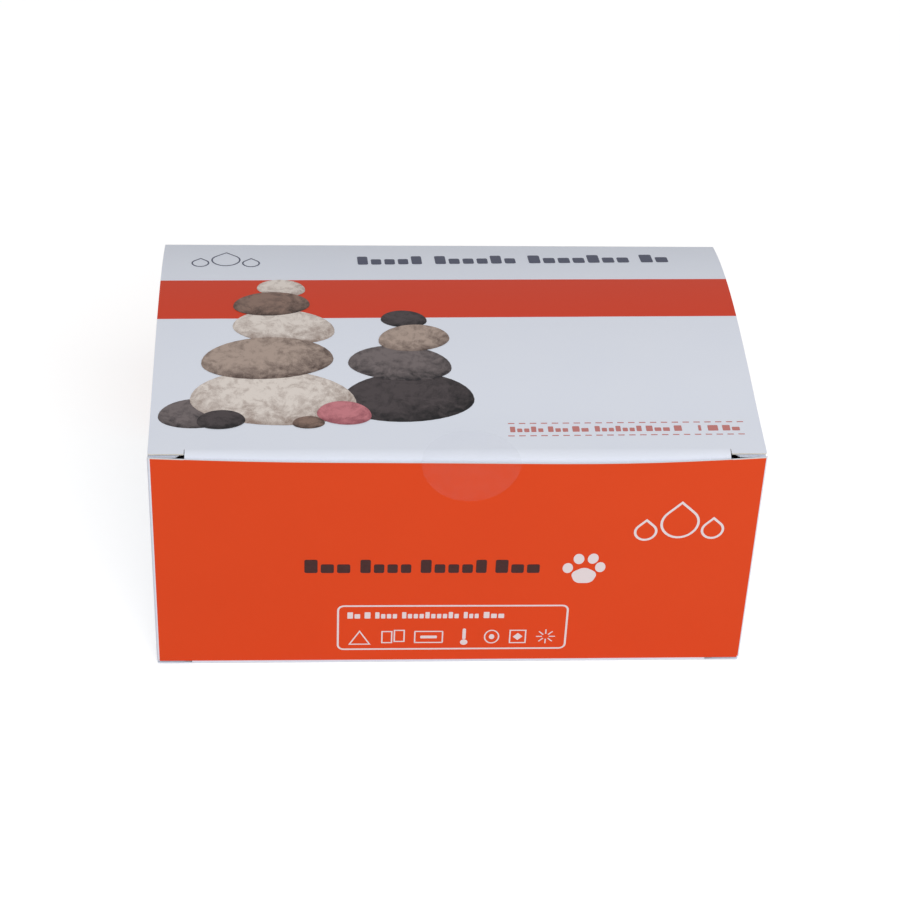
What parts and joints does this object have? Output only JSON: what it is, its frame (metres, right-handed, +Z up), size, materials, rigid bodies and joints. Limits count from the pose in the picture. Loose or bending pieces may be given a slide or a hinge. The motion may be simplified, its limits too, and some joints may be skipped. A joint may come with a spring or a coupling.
{
  "type": "sealed folding carton",
  "caption": "Closed straight tuck end folding carton with an arched lid, slit locks and a clear round seal, standing on its base as a sealed pack.",
  "frame": {"origin": "middle of the base between the four lower corners, on the surface that the carton stands on", "axes": "+Z up, from the base to the lid; -Y out of the front panel, which the lid tucks into; +X to the right as seen from the front, along the width"},
  "size_m": [0.19, 0.125, 0.0901],
  "materials": {
    "coated_board": "coated, with printed fields of white, orange and red; raw board at the cut edges",
    "clear_film": "clear self-adhesive film"
  },
  "bodies": {
    "root": {"carton": "coated_board", "seal_label": "clear_film"}
  },
  "joints": []
}
